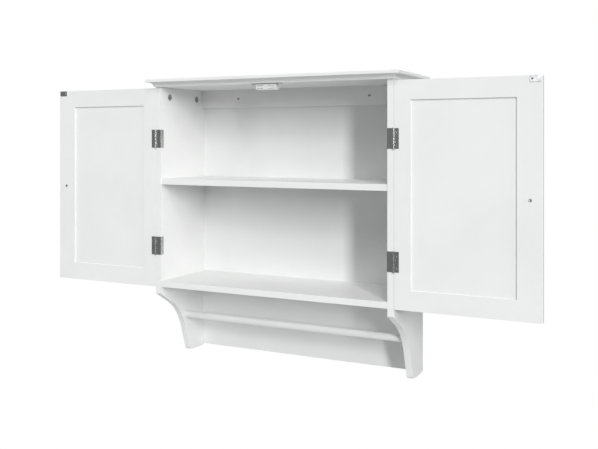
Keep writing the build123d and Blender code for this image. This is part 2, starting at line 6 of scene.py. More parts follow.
import bmesh
import bpy
from bpy.props import FloatProperty, FloatVectorProperty, IntProperty, PointerProperty
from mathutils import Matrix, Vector


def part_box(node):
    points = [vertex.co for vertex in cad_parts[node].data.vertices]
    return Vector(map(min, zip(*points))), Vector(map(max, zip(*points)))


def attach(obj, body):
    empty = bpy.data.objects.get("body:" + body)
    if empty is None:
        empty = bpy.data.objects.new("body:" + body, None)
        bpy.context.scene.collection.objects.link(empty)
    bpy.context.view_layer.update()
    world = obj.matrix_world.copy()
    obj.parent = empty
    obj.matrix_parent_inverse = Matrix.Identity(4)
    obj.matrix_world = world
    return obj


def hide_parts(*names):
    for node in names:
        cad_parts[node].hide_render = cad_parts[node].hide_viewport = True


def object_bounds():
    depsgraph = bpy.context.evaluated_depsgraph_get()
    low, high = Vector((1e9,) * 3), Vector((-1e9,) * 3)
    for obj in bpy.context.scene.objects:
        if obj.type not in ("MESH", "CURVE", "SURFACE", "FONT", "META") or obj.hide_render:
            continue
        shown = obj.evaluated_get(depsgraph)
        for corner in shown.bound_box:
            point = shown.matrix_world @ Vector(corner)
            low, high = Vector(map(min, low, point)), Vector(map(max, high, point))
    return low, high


bl_info = {
    "name": "Hanging wall cabinet",
    "version": (1, 0, 0),
    "blender": (4, 5, 0),
    "location": "3D View > Sidebar > Cabinet",
    "description": "Builds the painted boards, doors, hinges and fittings of a wall cabinet",
    "category": "Object",
}

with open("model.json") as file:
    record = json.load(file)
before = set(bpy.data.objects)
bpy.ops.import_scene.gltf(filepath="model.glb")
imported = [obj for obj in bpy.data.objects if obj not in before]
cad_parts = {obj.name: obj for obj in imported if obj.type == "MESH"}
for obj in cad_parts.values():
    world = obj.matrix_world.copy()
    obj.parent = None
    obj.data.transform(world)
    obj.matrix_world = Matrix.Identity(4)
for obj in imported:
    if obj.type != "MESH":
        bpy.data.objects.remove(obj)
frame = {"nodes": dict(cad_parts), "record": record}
CAD_LOW, CAD_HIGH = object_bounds()
BODY_OF = {node: body for body, nodes in frame["record"]["behaviour"]["bodies"].items() for node in nodes}
SIDES = ("left", "right")

MERGE = 1e-6                             # corners of a CAD node closer than this are one
SAME_PLANE = 1e-5                        # an edge this near a joint or sight line lies in it
FLAT_ANGLE = math.radians(0.4)           # faces nearer to level than this are joined up
CORNER_ANGLE = math.radians(28)          # flatter edges than this are not rounded
SHARP_ANGLE = math.radians(30)           # sharper edges than this keep a hard shade
FASTENER_SHARP_ANGLE = math.radians(35)

TINT_RANGE = (0.35, 0.65)                # noise values where a finish's two colours begin and end
SHEEN_RANGE = (0.3, 0.7)                 # noise values where its two sheens begin and end

# sizes of the fasteners, in metres, or as shares of a head's or a fitting's own size
CATCH_SHEET = 0.002                      # thickness of the catch's mounting plate
LEAF_SHEET = 0.001                       # thickness of the hinge leaves and strike plates
SCREW_SHANK_SHARE = 0.52
SCREW_RECESS_DEPTH = 0.0007
SCREW_RECESS_SHARE = 0.58
SCREW_ARRIS = 0.00006
KNOB_HEAD_HEIGHT = 0.0016
KNOB_RECESS_WIDTH = 0.0009
KNOB_RECESS_DEPTH = 0.001
KNOB_SCREW_ARRIS = 0.0002
CAM_HEAD_SHARE = 0.8                     # of the cam's depth, and of its radius below the head
CAM_SLOT_WIDTH = 0.0016
CAM_SLOT_DEPTH = 0.0018
CAM_ARRIS = 0.00025
PIN_HEAD_HEIGHT = 0.0008
DOWEL_ARRIS = 0.0003

# each soft box: name, degrees to the right of the front, degrees up, distance, width and height
SOFT_BOXES = (
    ("Key", 41.0, 17.5, 30.0, (3.0, 12.0)),
    ("High", 30.0, 45.0, 30.0, (4.8, 6.6)),
    ("Side", 80.0, 12.0, 18.0, (4.8, 6.0)),
    ("Left", -35.0, 36.0, 9.0, (3.0, 3.0)),
    ("Front", 2.5, 10.0, 2.7, (0.4, 0.3)),
    ("Back", 195.0, 28.0, 9.0, (3.0, 3.0)),
)
SENSOR_WIDTH = 36.0                      # millimetres
FARTHEST_SEEN = 50.0                     # metres


# ---------------------------------------------------------------- sizes and colours a user can change
class CabinetSizes(bpy.types.PropertyGroup):
    """Sizes of the softened corners and small details, in metres"""

    board_arris: FloatProperty(
        name="Board arris", description="Rounding of the painted boards' corners",
        default=0.0006, min=0.0, unit="LENGTH",
    )
    sight_arris: FloatProperty(
        name="Sight arris", description="Rounding of the door frame's edge beside its panel",
        default=0.0004, min=0.0, unit="LENGTH",
    )
    joint_arris: FloatProperty(
        name="Joint arris", description="Fine line where a door rail meets a stile",
        default=0.00012, min=0.0, unit="LENGTH",
    )
    metal_arris: FloatProperty(
        name="Metal arris", description="Rounding of the sheet-metal edges",
        default=0.00015, min=0.0, unit="LENGTH",
    )
    recess_width: FloatProperty(
        name="Recess width", description="Width of a screw's cross recess",
        default=0.0006, min=0.0, unit="LENGTH",
    )
    flute_depth: FloatProperty(
        name="Flute depth", description="Depth of the dowels' flutes",
        default=0.0002, min=0.0, unit="LENGTH",
    )
    turn_seed: IntProperty(
        name="Turn seed", description="Seed for how far each screw was turned home", default=7,
    )


class CabinetFinishes(bpy.types.PropertyGroup):
    """Colours and sheens of the finishes"""

    paint: FloatVectorProperty(
        name="Paint", description="Satin paint of the boards and doors",
        default=(0.83, 0.832, 0.826), size=3, min=0.0, max=1.0, subtype="COLOR",
    )
    panel_paint: FloatVectorProperty(
        name="Panel paint", description="Flatter paint of the thin back panel",
        default=(0.80, 0.806, 0.803), size=3, min=0.0, max=1.0, subtype="COLOR",
    )
    hinge: FloatVectorProperty(
        name="Hinge", description="Satin nickel plate of the hinges",
        default=(0.54, 0.54, 0.53), size=3, min=0.0, max=1.0, subtype="COLOR",
    )
    knob: FloatVectorProperty(
        name="Knob", description="Brushed nickel of the knobs",
        default=(0.60, 0.585, 0.56), size=3, min=0.0, max=1.0, subtype="COLOR",
    )
    plating: FloatVectorProperty(
        name="Plating", description="Bright zinc plate of the screws and catch plates",
        default=(0.60, 0.605, 0.61), size=3, min=0.0, max=1.0, subtype="COLOR",
    )
    casting: FloatVectorProperty(
        name="Casting", description="Die-cast zinc of the cam locks",
        default=(0.44, 0.44, 0.45), size=3, min=0.0, max=1.0, subtype="COLOR",
    )
    # Darker than the board paint: the catch's plastic is toned down partly as painted shade from the top's
    # overhang
    plastic: FloatVectorProperty(
        name="Plastic", description="Moulded plastic of the catch",
        default=(0.76, 0.76, 0.75), size=3, min=0.0, max=1.0, subtype="COLOR",
    )
    beech: FloatVectorProperty(
        name="Beech", description="Bare wood of the dowels",
        default=(0.56, 0.38, 0.22), size=3, min=0.0, max=1.0, subtype="COLOR",
    )
    ferrite: FloatVectorProperty(
        name="Ferrite", description="Sintered magnets of the catch",
        default=(0.035, 0.035, 0.038), size=3, min=0.0, max=1.0, subtype="COLOR",
    )


class CabinetStage(bpy.types.PropertyGroup):
    """Camera, floor and studio lights"""

    camera_place: FloatVectorProperty(
        name="Camera place", description="Where the camera stands",
        default=(0.8109, -1.6715, -0.0981), size=3, subtype="TRANSLATION",
    )
    camera_turn: FloatProperty(
        name="Camera turn", description="Turn of the level camera to the left of straight ahead",
        default=math.radians(26.28), subtype="ANGLE",
    )
    camera_lens: FloatProperty(
        name="Lens", description="Focal length on a 36 mm sensor, in millimetres", default=48.97,
    )
    camera_drop: FloatProperty(
        name="Lens drop", description="Downward shift of the lens, as a share of the picture's width",
        default=0.1407,
    )
    floor_drop: FloatProperty(
        name="Floor drop", description="From the bracket feet down to the floor",
        default=1.2, unit="LENGTH",
    )
    floor_radius: FloatProperty(
        name="Floor radius", description="Radius of the pale floor", default=2.3, unit="LENGTH",
    )
    key_power: FloatProperty(
        name="Key", description="Tall soft box at the right front", default=5650.0, unit="POWER",
    )
    high_power: FloatProperty(
        name="High", description="Soft box high at the right front", default=1840.0, unit="POWER",
    )
    side_power: FloatProperty(
        name="Side", description="Soft box at the right side", default=590.0, unit="POWER",
    )
    left_power: FloatProperty(
        name="Left", description="Faint soft box at the left", default=142.0, unit="POWER",
    )
    front_power: FloatProperty(
        name="Front", description="Small soft box straight in front", default=1.05, unit="POWER",
    )
    back_power: FloatProperty(
        name="Back", description="Soft box behind, for the wall side", default=260.0, unit="POWER",
    )
    fill: FloatProperty(name="Fill", description="Strength of the even studio surround", default=0.22)


# ---------------------------------------------------------------- finishes
def new_finish(name, color, roughness, metallic=0.0):
    """A material with its shader, and the tools to wire it."""
    material = bpy.data.materials.new(name)
    material.use_nodes = True
    shader = material.node_tree.nodes["Principled BSDF"]
    shader.inputs["Base Color"].default_value = (*color, 1.0)
    shader.inputs["Roughness"].default_value = roughness
    shader.inputs["Metallic"].default_value = metallic
    material.diffuse_color = (*color, 1.0)
    return material, shader


def noise(material, scale, detail=3.0, stretch=(1.0, 1.0, 1.0)):
    """Noise over the piece's own coordinates; stretch below 1 draws it out along that axis."""
    nodes = material.node_tree.nodes
    links = material.node_tree.links
    place = nodes.new("ShaderNodeTexCoord")
    mapping = nodes.new("ShaderNodeMapping")
    mapping.inputs["Scale"].default_value = stretch
    texture = nodes.new("ShaderNodeTexNoise")
    texture.inputs["Scale"].default_value = scale
    texture.inputs["Detail"].default_value = detail
    links.new(place.outputs["Object"], mapping.inputs["Vector"])
    links.new(mapping.outputs["Vector"], texture.inputs["Vector"])
    return texture.outputs["Fac"]


def vary(material, shader, socket, value, low, high):
    """Drive a shader number between low and high with a noise value."""
    spread = material.node_tree.nodes.new("ShaderNodeMapRange")
    spread.inputs["From Min"].default_value, spread.inputs["From Max"].default_value = SHEEN_RANGE
    spread.inputs["To Min"].default_value = low
    spread.inputs["To Max"].default_value = high
    material.node_tree.links.new(value, spread.inputs["Value"])
    material.node_tree.links.new(spread.outputs["Result"], shader.inputs[socket])


def tint(material, shader, value, dark, light):
    """Colour between two tones with a noise value."""
    ramp = material.node_tree.nodes.new("ShaderNodeValToRGB")
    for element, position, color in zip(ramp.color_ramp.elements, TINT_RANGE, (dark, light)):
        element.position = position
        element.color = (*color, 1.0)
    material.node_tree.links.new(value, ramp.inputs["Fac"])
    material.node_tree.links.new(ramp.outputs["Color"], shader.inputs["Base Color"])


def raise_bumps(material, shader, layers):
    """Chain of bump layers, each (noise value, height in metres, strength)."""
    nodes = material.node_tree.nodes
    links = material.node_tree.links
    normal = None
    for value, height, strength in layers:
        bump = nodes.new("ShaderNodeBump")
        bump.inputs["Distance"].default_value = height
        bump.inputs["Strength"].default_value = strength
        links.new(value, bump.inputs["Height"])
        if normal:
            links.new(normal, bump.inputs["Normal"])
        normal = bump.outputs["Normal"]
    links.new(normal, shader.inputs["Normal"])


def scaled(color, factor):
    return tuple(min(1.0, part * factor) for part in color)


def painted(name, color, roughness=0.42, grain=None):
    """Sprayed satin paint; grain names the axis that faint wood grain runs along."""
    material, shader = new_finish(name, color, roughness)
    tint(material, shader, noise(material, 9.0, 4.0), scaled(color, 0.975), scaled(color, 1.008))
    vary(material, shader, "Roughness", noise(material, 45.0, 3.0), roughness - 0.05, roughness + 0.07)
    layers = [(noise(material, 520.0, 2.0), 0.00003, 0.5), (noise(material, 60.0, 1.0), 0.00008, 0.35)]
    if grain:
        stretch = (0.03, 1.0, 1.0) if grain == "X" else (1.0, 1.0, 0.03)
        layers.append((noise(material, 420.0, 3.0, stretch), 0.00003, 0.6))
    raise_bumps(material, shader, layers)
    shader.inputs["Coat Weight"].default_value = 0.12
    shader.inputs["Coat Roughness"].default_value = 0.3
    return material


def brushed(name, color, roughness, stretch, height=0.000004):
    """Plated or brushed metal with fine lines and slight smudges."""
    material, shader = new_finish(name, color, roughness, metallic=1.0)
    tint(material, shader, noise(material, 90.0, 3.0), scaled(color, 0.97), scaled(color, 1.03))
    lines = noise(material, 2600.0, 2.0, stretch)
    vary(material, shader, "Roughness", noise(material, 120.0, 2.0), roughness - 0.02, roughness + 0.03)
    raise_bumps(material, shader, [(lines, height, 0.05)])
    return material


def make_finishes(colors):
    """Every finish of the cabinet, by its slot or by its slot and grain direction."""
    finishes = {
        "white_painted_board": painted("satin_white_board", colors.paint),
        "white_painted_door": painted("satin_white_stile", colors.paint, grain="Z"),
        "door_rail": painted("satin_white_rail", colors.paint, grain="X"),
        "door_panel": painted("satin_white_panel", colors.paint, 0.45),
        "white_hardboard": painted("flat_white_back", colors.panel_paint, 0.55),
        "hinge_steel": brushed("satin_nickel", colors.hinge, 0.25, (1.0, 1.0, 0.04)),
        "knob_nickel": brushed("brushed_nickel", colors.knob, 0.27, (1.0, 0.05, 1.0)),
        "zinc_plated_steel": brushed("bright_zinc_plate", colors.plating, 0.2, (1.0, 1.0, 1.0)),
    }
    casting, shader = new_finish("die_cast_zinc", colors.casting, 0.5, metallic=1.0)
    grain = noise(casting, 300.0, 5.0)
    tint(casting, shader, grain, scaled(colors.casting, 0.8), scaled(colors.casting, 1.1))
    vary(casting, shader, "Roughness", noise(casting, 500.0), 0.42, 0.62)
    raise_bumps(casting, shader, [(noise(casting, 1400.0, 3.0), 0.00004, 0.7)])
    finishes["fitting_zinc"] = casting

    # The catch's plastic colour is toned down partly as painted shade from the top's overhang above it
    plastic, shader = new_finish("moulded_white_plastic", colors.plastic, 0.38)
    tint(plastic, shader, noise(plastic, 70.0), scaled(colors.plastic, 0.98), scaled(colors.plastic, 1.01))
    vary(plastic, shader, "Roughness", noise(plastic, 400.0), 0.33, 0.45)
    raise_bumps(plastic, shader, [(noise(plastic, 1900.0, 1.0), 0.00002, 0.6)])
    finishes["white_plastic"] = plastic

    ferrite, shader = new_finish("sintered_ferrite", colors.ferrite, 0.6)
    grain = noise(ferrite, 900.0, 4.0)
    tint(ferrite, shader, grain, scaled(colors.ferrite, 0.6), scaled(colors.ferrite, 1.9))
    vary(ferrite, shader, "Roughness", noise(ferrite, 700.0), 0.5, 0.75)
    raise_bumps(ferrite, shader, [(noise(ferrite, 1600.0, 4.0), 0.00005, 0.8)])
    finishes["dark_magnet"] = ferrite

    beech, shader = new_finish("bare_beech", colors.beech, 0.62)
    tint(beech, shader, noise(beech, 260.0, 5.0), scaled(colors.beech, 0.72), scaled(colors.beech, 1.2))
    vary(beech, shader, "Roughness", noise(beech, 300.0), 0.55, 0.72)
    raise_bumps(beech, shader, [(noise(beech, 900.0, 4.0), 0.00006, 0.7)])
    finishes["plain_beech"] = beech
    return finishes


FINISHES = {}


# ---------------------------------------------------------------- making pieces
def merged_copy(node):
    """A node's shape as one connected mesh with plane faces joined up."""
    shape = bmesh.new()
    shape.from_mesh(frame["nodes"][node].data)
    bmesh.ops.remove_doubles(shape, verts=shape.verts, dist=MERGE)
    bmesh.ops.dissolve_limit(
        shape, angle_limit=FLAT_ANGLE, verts=shape.verts, edges=shape.edges, delimit=set()
    )
    return shape


def weigh_arrises(shape, radius, finer=None):
    """Bevel weights: 1 on outward corners, less where finer(edge) gives a smaller radius."""
    layer = shape.edges.layers.float.new("bevel_weight_edge")
    for edge in shape.edges:
        if len(edge.link_faces) != 2:
            continue
        if edge.calc_face_angle_signed(0.0) < CORNER_ANGLE:
            continue
        wanted = finer(edge) if finer else None
        edge[layer] = 1.0 if wanted is None else wanted / radius


def plain_mesh(piece):
    """Turn a piece and its modifiers into one plain mesh."""
    graph = bpy.context.evaluated_depsgraph_get()
    result = bpy.data.meshes.new_from_object(piece.evaluated_get(graph), depsgraph=graph)
    piece.modifiers.clear()
    old = piece.data
    piece.data = result
    bpy.data.meshes.remove(old)


def soften(piece, radius, segments=3, by_weight=True):
    """Round the piece's corners and let its broad faces keep their shading."""
    bevel = piece.modifiers.new("Arris", "BEVEL")
    bevel.width = radius
    bevel.segments = segments
    bevel.limit_method = "WEIGHT" if by_weight else "ANGLE"
    bevel.angle_limit = SHARP_ANGLE
    bevel.use_clamp_overlap = True
    bevel.miter_outer = "MITER_ARC"
    normals = piece.modifiers.new("Faces", "WEIGHTED_NORMAL")
    normals.mode = "FACE_AREA"
    normals.weight = 80
    normals.keep_sharp = True
    plain_mesh(piece)


def new_piece(name, mesh):
    piece = bpy.data.objects.new(name, mesh)
    bpy.context.scene.collection.objects.link(piece)
    return piece


def stand_for(piece, node, finish=None):
    """The piece takes a node's place, body and finish."""
    if finish:
        piece.data.materials.clear()
        piece.data.materials.append(finish)
    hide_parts(node)
    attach(piece, BODY_OF[node])


def softened(node, finish, radius, finer=None, segments=3):
    """A finished piece of a node's own shape, with its corners rounded."""
    shape = merged_copy(node)
    weigh_arrises(shape, radius, finer)
    mesh = bpy.data.meshes.new(f"{node}_finished")
    shape.to_mesh(mesh)
    shape.free()
    mesh.shade_smooth()
    mesh.set_sharp_from_angle(angle=SHARP_ANGLE)
    piece = new_piece(f"{node}_finished", mesh)
    soften(piece, radius, segments)
    stand_for(piece, node, finish)
    return piece


def islands(node):
    """Box of each separate solid in a node, as (lowest corner, highest corner)."""
    shape = bmesh.new()
    shape.from_mesh(frame["nodes"][node].data)
    bmesh.ops.remove_doubles(shape, verts=shape.verts, dist=MERGE)
    waiting = set(shape.verts)
    boxes = []
    while waiting:
        group = {waiting.pop()}
        front = list(group)
        while front:
            vert = front.pop()
            for edge in vert.link_edges:
                other = edge.other_vert(vert)
                if other in waiting:
                    waiting.remove(other)
                    group.add(other)
                    front.append(other)
        low = Vector(min(v.co[i] for v in group) for i in range(3))
        high = Vector(max(v.co[i] for v in group) for i in range(3))
        boxes.append((low, high))
    shape.free()
    return sorted(boxes, key=lambda box: tuple(box[0]))


# ---------------------------------------------------------------- geometry nodes
def new_tree(name, sizes):
    """An empty tree with its named size inputs, in metres, and its seed and finish inputs."""
    tree = bpy.data.node_groups.new(name, "GeometryNodeTree")
    tree.interface.new_socket("Places", in_out="INPUT", socket_type="NodeSocketGeometry")
    for size_name, default in sizes:
        socket = tree.interface.new_socket(size_name, in_out="INPUT", socket_type="NodeSocketFloat")
        socket.subtype = "DISTANCE"
        socket.default_value = default
    tree.interface.new_socket("Turn seed", in_out="INPUT", socket_type="NodeSocketInt")
    tree.interface.new_socket("Finish", in_out="INPUT", socket_type="NodeSocketMaterial")
    tree.interface.new_socket("Result", in_out="OUTPUT", socket_type="NodeSocketGeometry")
    return tree


def add_node(tree, kind, links=None, values=None, **settings):
    """A node with its settings, its linked inputs and its fixed inputs."""
    node = tree.nodes.new(kind)
    for key, value in settings.items():
        setattr(node, key, value)
    for key, source in (links or {}).items():
        tree.links.new(source, node.inputs[key])
    for key, value in (values or {}).items():
        node.inputs[key].default_value = value
    return node


def math_node(tree, operation, first, second):
    """Arithmetic on two inputs, each a socket or a number."""
    node = tree.nodes.new("ShaderNodeMath")
    node.operation = operation
    for index, value in enumerate((first, second)):
        if isinstance(value, (int, float)):
            node.inputs[index].default_value = value
        else:
            tree.links.new(value, node.inputs[index])
    return node.outputs[0]


def vector_node(tree, x=0.0, y=0.0, z=0.0):
    """A vector from three inputs, each a socket or a number."""
    node = tree.nodes.new("ShaderNodeCombineXYZ")
    for key, value in (("X", x), ("Y", y), ("Z", z)):
        if isinstance(value, (int, float)):
            node.inputs[key].default_value = value
        else:
            tree.links.new(value, node.inputs[key])
    return node.outputs[0]


def set_out(tree, given, shape):
    """Place the shape at every point, along its outward direction, turned at random."""
    outward = add_node(tree, "GeometryNodeInputNamedAttribute", values={"Name": "outward"})
    outward.data_type = "FLOAT_VECTOR"
    aim = add_node(tree, "FunctionNodeAlignRotationToVector", {"Vector": outward.outputs["Attribute"]})
    aim.axis = "Z"
    placed = add_node(
        tree, "GeometryNodeInstanceOnPoints",
        {"Points": given.outputs["Places"], "Instance": shape, "Rotation": aim.outputs["Rotation"]},
    )
    turn = add_node(
        tree, "FunctionNodeRandomValue", {"Seed": given.outputs["Turn seed"]}, data_type="FLOAT"
    )
    turn.inputs[2].default_value = 0.0
    turn.inputs[3].default_value = math.tau
    turned = add_node(
        tree, "GeometryNodeRotateInstances",
        {"Instances": placed.outputs["Instances"], "Rotation": vector_node(tree, z=turn.outputs[1])},
    )
    real = add_node(tree, "GeometryNodeRealizeInstances", {"Geometry": turned.outputs["Instances"]})
    coated = add_node(
        tree, "GeometryNodeSetMaterial",
        {"Geometry": real.outputs["Geometry"], "Material": given.outputs["Finish"]},
    )
    add_node(tree, "NodeGroupOutput", {"Result": coated.outputs["Geometry"]})


def fastener_tree():
    """Screws, nails and cam locks: a head, with a cross recess if it is deep, on a round shank."""
    tree = new_tree("Turned fasteners", [
        ("Top radius", 0.0024), ("Neck radius", 0.00125), ("Head height", 0.001),
        ("Shank radius", 0.00125), ("Shank length", 0.0097),
        ("Recess width", 0.0006), ("Recess reach", 0.0014), ("Recess depth", 0.0007),
    ])
    given = tree.nodes.new("NodeGroupInput")
    sizes = given.outputs
    down = math_node(tree, "MULTIPLY", sizes["Head height"], -1.0)
    cone = add_node(
        tree, "GeometryNodeMeshCone",
        {
            "Radius Top": sizes["Top radius"], "Radius Bottom": sizes["Neck radius"],
            "Depth": sizes["Head height"],
        },
        {"Vertices": 40},
    )
    head = add_node(
        tree, "GeometryNodeTransform",
        {"Geometry": cone.outputs["Mesh"], "Translation": vector_node(tree, z=down)},
    )
    reach = math_node(tree, "MULTIPLY", sizes["Recess reach"], 2.0)
    depth = math_node(tree, "MULTIPLY", sizes["Recess depth"], 2.0)
    across = add_node(
        tree, "GeometryNodeMeshCube", {"Size": vector_node(tree, reach, sizes["Recess width"], depth)}
    )
    along = add_node(
        tree, "GeometryNodeMeshCube", {"Size": vector_node(tree, sizes["Recess width"], reach, depth)}
    )
    cut = add_node(tree, "GeometryNodeMeshBoolean", operation="DIFFERENCE", solver="EXACT")
    tree.links.new(head.outputs["Geometry"], cut.inputs["Mesh 1"])
    tree.links.new(across.outputs["Mesh"], cut.inputs["Mesh 2"])
    tree.links.new(along.outputs["Mesh"], cut.inputs["Mesh 2"])
    has_recess = add_node(
        tree, "FunctionNodeCompare", {"A": sizes["Recess depth"]}, {"B": 1e-6},
        data_type="FLOAT", operation="GREATER_THAN",
    )
    choose = add_node(
        tree, "GeometryNodeSwitch",
        {
            "Switch": has_recess.outputs["Result"], "False": head.outputs["Geometry"],
            "True": cut.outputs["Mesh"],
        },
        input_type="GEOMETRY",
    )
    rod = add_node(
        tree, "GeometryNodeMeshCylinder",
        {"Radius": sizes["Shank radius"], "Depth": sizes["Shank length"]}, {"Vertices": 24},
    )
    half = math_node(tree, "MULTIPLY", sizes["Shank length"], -0.5)
    sunk = math_node(tree, "ADD", half, down)
    shank = add_node(
        tree, "GeometryNodeTransform",
        {"Geometry": rod.outputs["Mesh"], "Translation": vector_node(tree, z=sunk)},
    )
    both = tree.nodes.new("GeometryNodeJoinGeometry")
    tree.links.new(shank.outputs["Geometry"], both.inputs["Geometry"])
    tree.links.new(choose.outputs["Output"], both.inputs["Geometry"])
    set_out(tree, given, both.outputs["Geometry"])
    return tree


def dowel_tree():
    """Fluted wooden dowels, centred on their places."""
    tree = new_tree("Fluted dowels", [("Radius", 0.003), ("Length", 0.022), ("Flute depth", 0.0002)])
    given = tree.nodes.new("NodeGroupInput")
    sizes = given.outputs
    inner = math_node(tree, "SUBTRACT", sizes["Radius"], sizes["Flute depth"])
    section = add_node(
        tree, "GeometryNodeCurveStar",
        {"Outer Radius": sizes["Radius"], "Inner Radius": inner}, {"Points": 20},
    )
    half = math_node(tree, "MULTIPLY", sizes["Length"], 0.5)
    down = math_node(tree, "MULTIPLY", sizes["Length"], -0.5)
    line = add_node(
        tree, "GeometryNodeCurvePrimitiveLine",
        {"Start": vector_node(tree, z=down), "End": vector_node(tree, z=half)},
    )
    rod = add_node(
        tree, "GeometryNodeCurveToMesh",
        {"Curve": line.outputs["Curve"], "Profile Curve": section.outputs["Curve"]}, {"Fill Caps": True},
    )
    set_out(tree, given, rod.outputs["Mesh"])
    return tree


def from_tree(tree, node, places, sizes, finish, seed, arris=0.0):
    """One plain mesh of everything the tree sets out at places, each (point, outward direction)."""
    mesh = bpy.data.meshes.new(f"{node}_finished")
    mesh.from_pydata([point for point, _ in places], [], [])
    outward = mesh.attributes.new("outward", "FLOAT_VECTOR", "POINT")
    for index, (_, direction) in enumerate(places):
        outward.data[index].vector = direction
    piece = new_piece(f"{node}_finished", mesh)
    modifier = piece.modifiers.new("Set out", "NODES")
    modifier.node_group = tree
    wanted = {**sizes, "Turn seed": seed, "Finish": finish}
    for socket in tree.interface.items_tree:
        if socket.item_type == "SOCKET" and socket.in_out == "INPUT" and socket.name in wanted:
            modifier[socket.identifier] = wanted[socket.name]
    if arris:
        soften(piece, arris, 2, by_weight=False)
    else:
        plain_mesh(piece)
    piece.data.shade_smooth()
    piece.data.set_sharp_from_angle(angle=FASTENER_SHARP_ANGLE)
    stand_for(piece, node)
    return piece


def face_place(box, axis, sign):
    """Middle of a box's face on one axis, and that face's outward direction."""
    low, high = box
    point = (low + high) / 2
    point[axis] = high[axis] if sign > 0 else low[axis]
    direction = Vector((0.0, 0.0, 0.0))
    direction[axis] = float(sign)
    return tuple(point), tuple(direction)


# ---------------------------------------------------------------- operators, one per piece or group
class CABINET_OT_finishes(bpy.types.Operator):
    """Mix the paints, platings and bare materials"""

    bl_idname = "cabinet.finishes"
    bl_label = "Finishes"
    bl_options = {"REGISTER", "UNDO"}

    def execute(self, context):
        FINISHES.update(make_finishes(context.scene.cabinet_finishes))
        return {"FINISHED"}


class CABINET_OT_carcass(bpy.types.Operator):
    """Top, sides, shelf, bottom, rail and lower back board, with softened painted corners"""

    bl_idname = "cabinet.carcass"
    bl_label = "Carcass boards"
    bl_options = {"REGISTER", "UNDO"}

    def execute(self, context):
        arris = context.scene.cabinet_sizes.board_arris
        nodes = ["top_board", "bottom_board", "middle_shelf", "hanging_rail", "lower_back_board"]
        nodes += [f"side_panel_{side}" for side in SIDES]
        for node in nodes:
            softened(node, FINISHES["white_painted_board"], arris)
        return {"FINISHED"}


class CABINET_OT_back_panel(bpy.types.Operator):
    """Thin back panel in its flatter paint"""

    bl_idname = "cabinet.back_panel"
    bl_label = "Back panel"
    bl_options = {"REGISTER", "UNDO"}

    def execute(self, context):
        softened("back_panel", FINISHES["white_hardboard"], context.scene.cabinet_sizes.sight_arris)
        return {"FINISHED"}


class CABINET_OT_towel_bar(bpy.types.Operator):
    """Round painted towel bar"""

    bl_idname = "cabinet.towel_bar"
    bl_label = "Towel bar"
    bl_options = {"REGISTER", "UNDO"}

    def execute(self, context):
        softened("towel_bar", FINISHES["white_painted_board"], context.scene.cabinet_sizes.board_arris)
        return {"FINISHED"}


class CABINET_OT_doors(bpy.types.Operator):
    """Stiles, rails and panels of both doors, with fine lines at their joints"""

    bl_idname = "cabinet.doors"
    bl_label = "Doors"
    bl_options = {"REGISTER", "UNDO"}

    def execute(self, context):
        sizes = context.scene.cabinet_sizes
        for side in SIDES:
            self.make_door(side, sizes)
        return {"FINISHED"}

    def make_door(self, side, sizes):
        low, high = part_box(f"door_panel_{side}")
        middle = (low.x + high.x) / 2
        top_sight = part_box(f"door_top_rail_{side}")[0].z
        stiles = [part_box(f"door_{kind}_stile_{side}") for kind in ("hinge", "free")]
        joints = [min(box[0].x, box[1].x, key=lambda x: abs(x - middle)) for box in stiles]
        sights = (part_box(f"door_bottom_rail_{side}")[1].z, top_sight)

        def finer(edge):
            """Finer corners in the joint planes and along the panel."""
            for joint in joints:
                if all(abs(vert.co.x - joint) < SAME_PLANE for vert in edge.verts):
                    return sizes.joint_arris
            for sight in sights:
                if all(abs(vert.co.z - sight) < SAME_PLANE for vert in edge.verts):
                    return sizes.sight_arris
            return None

        for kind in ("hinge_stile", "free_stile"):
            softened(f"door_{kind}_{side}", FINISHES["white_painted_door"], sizes.board_arris, finer)
        for kind in ("top_rail", "bottom_rail"):
            softened(f"door_{kind}_{side}", FINISHES["door_rail"], sizes.board_arris, finer)
        softened(f"door_panel_{side}", FINISHES["door_panel"], sizes.sight_arris)


class CABINET_OT_hinges(bpy.types.Operator):
    """Butt hinges' leaves and pins"""

    bl_idname = "cabinet.hinges"
    bl_label = "Hinges"
    bl_options = {"REGISTER", "UNDO"}

    def execute(self, context):
        arris = context.scene.cabinet_sizes.metal_arris
        names = [f"{level}_hinge_{leaf}_leaf" for level in ("upper", "lower") for leaf in ("frame", "door")]
        for name in [*names, "hinge_pins"]:
            for side in SIDES:
                softened(f"{name}_{side}", FINISHES["hinge_steel"], arris, segments=2)
        return {"FINISHED"}


class CABINET_OT_knobs(bpy.types.Operator):
    """Turned knobs on the doors' outer faces"""

    bl_idname = "cabinet.knobs"
    bl_label = "Knobs"
    bl_options = {"REGISTER", "UNDO"}

    def execute(self, context):
        for side in SIDES:
            softened(f"knob_{side}", FINISHES["knob_nickel"], context.scene.cabinet_sizes.metal_arris)
        return {"FINISHED"}


class CABINET_OT_catch(bpy.types.Operator):
    """Magnetic catch under the top, and the doors' strike plates"""

    bl_idname = "cabinet.catch"
    bl_label = "Catch and strike plates"
    bl_options = {"REGISTER", "UNDO"}

    def execute(self, context):
        arris = context.scene.cabinet_sizes.metal_arris
        softened("catch_housing", FINISHES["white_plastic"], context.scene.cabinet_sizes.sight_arris)
        softened("catch_plate", FINISHES["zinc_plated_steel"], arris)
        softened("catch_magnets", FINISHES["dark_magnet"], arris)
        softened("catch_pole_plates", FINISHES["zinc_plated_steel"], arris)
        for side in SIDES:
            softened(f"strike_plate_{side}", FINISHES["zinc_plated_steel"], arris)
        return {"FINISHED"}


